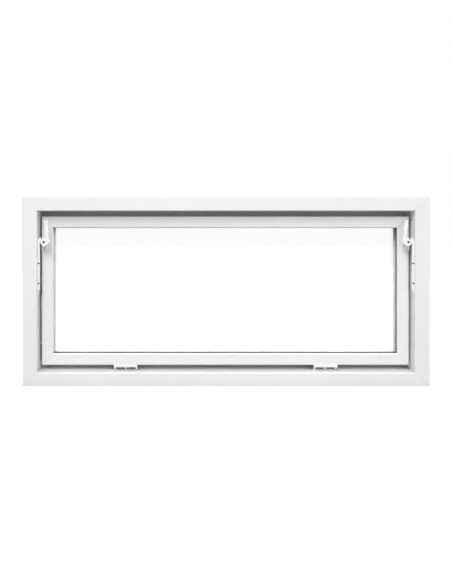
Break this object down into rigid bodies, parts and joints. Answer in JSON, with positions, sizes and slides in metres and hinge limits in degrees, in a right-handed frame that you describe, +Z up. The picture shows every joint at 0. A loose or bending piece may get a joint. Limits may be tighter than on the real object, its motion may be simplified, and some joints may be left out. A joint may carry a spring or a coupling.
{
  "type": "basement hopper window with tilt-in sash and lever latches",
  "caption": "White vinyl basement hopper window: mitred frame, bottom-hinged double-glazed sash that tilts in, lever cam latches and limit stays.",
  "frame": {"origin": "bottom centre of the outer frame, at mid depth", "axes": "+X along the window's width, -Y faces the room, +Y faces outdoors, +Z up"},
  "size_m": [0.8066, 0.0636, 0.3747],
  "materials": {
    "vinyl": "satin white extruded PVC",
    "hardware": "smooth white moulded nylon",
    "glass": "clear float glass",
    "gasket": "dark glazing gasket",
    "seal": "grey compression seal",
    "spacer": "dark warm-edge spacer",
    "steel": "zinc-plated steel"
  },
  "bodies": {
    "frame": {"frame_head": "vinyl", "frame_sill": "vinyl", "frame_jamb_left": "vinyl", "frame_jamb_right": "vinyl", "frame_seal": "seal", "keeper_left": "hardware", "keeper_right": "hardware", "keeper_screws": "steel", "hinge_left_frame_leaf": "hardware", "hinge_right_frame_leaf": "hardware", "hinge_pins": "steel", "hinge_frame_screws": "steel", "stay_pivots": "steel", "weep_covers": "vinyl"},
    "sash": {"sash_top_rail": "vinyl", "sash_bottom_rail": "vinyl", "sash_stile_left": "vinyl", "sash_stile_right": "vinyl", "glass_inner_pane": "glass", "glass_outer_pane": "glass", "glass_spacer": "spacer", "setting_blocks": "seal", "glazing_gasket": "gasket", "glazing_bead_top": "vinyl", "glazing_bead_bottom": "vinyl", "glazing_bead_left": "vinyl", "glazing_bead_right": "vinyl", "hinge_left_sash_leaf": "hardware", "hinge_right_sash_leaf": "hardware", "hinge_sash_screws": "steel", "latch_left_base": "hardware", "latch_right_base": "hardware", "latch_base_screws": "steel", "latch_pins": "steel", "stay_tracks": "steel", "stay_track_screws": "steel"},
    "latch_left": {"latch_left_lever": "hardware"},
    "latch_right": {"latch_right_lever": "hardware"},
    "stay_left": {"stay_left_arm": "steel", "stay_left_pin": "steel"},
    "stay_right": {"stay_right_arm": "steel", "stay_right_pin": "steel"}
  },
  "joints": [
    {"name": "sash_tilt", "type": "hinge", "parent": "frame", "child": "sash", "pos_m": [0, -0.01525, 0.036], "axis": [1, 0, 0], "range_deg": [0, 40]},
    {"name": "latch_left_turn", "type": "hinge", "parent": "sash", "child": "latch_left", "pos_m": [-0.36185, -0.01175, 0.285], "axis": [0, 1, 0], "range_deg": [0, 90]},
    {"name": "latch_right_turn", "type": "hinge", "parent": "sash", "child": "latch_right", "pos_m": [0.36185, -0.01175, 0.285], "axis": [0, -1, 0], "range_deg": [0, 90]},
    {"name": "stay_left_turn", "type": "hinge", "parent": "frame", "child": "stay_left", "pos_m": [-0.37205, -0.00325, 0.081], "axis": [1, 0, 0], "range_deg": [0, 58]},
    {"name": "stay_right_turn", "type": "hinge", "parent": "frame", "child": "stay_right", "pos_m": [0.37205, -0.00325, 0.081], "axis": [1, 0, 0], "range_deg": [0, 58]}
  ],
  "couplings": [
    {"joint": "stay_left_turn", "follows": "sash_tilt", "ratio": 1.44},
    {"joint": "stay_right_turn", "follows": "sash_tilt", "ratio": 1.44}
  ]
}
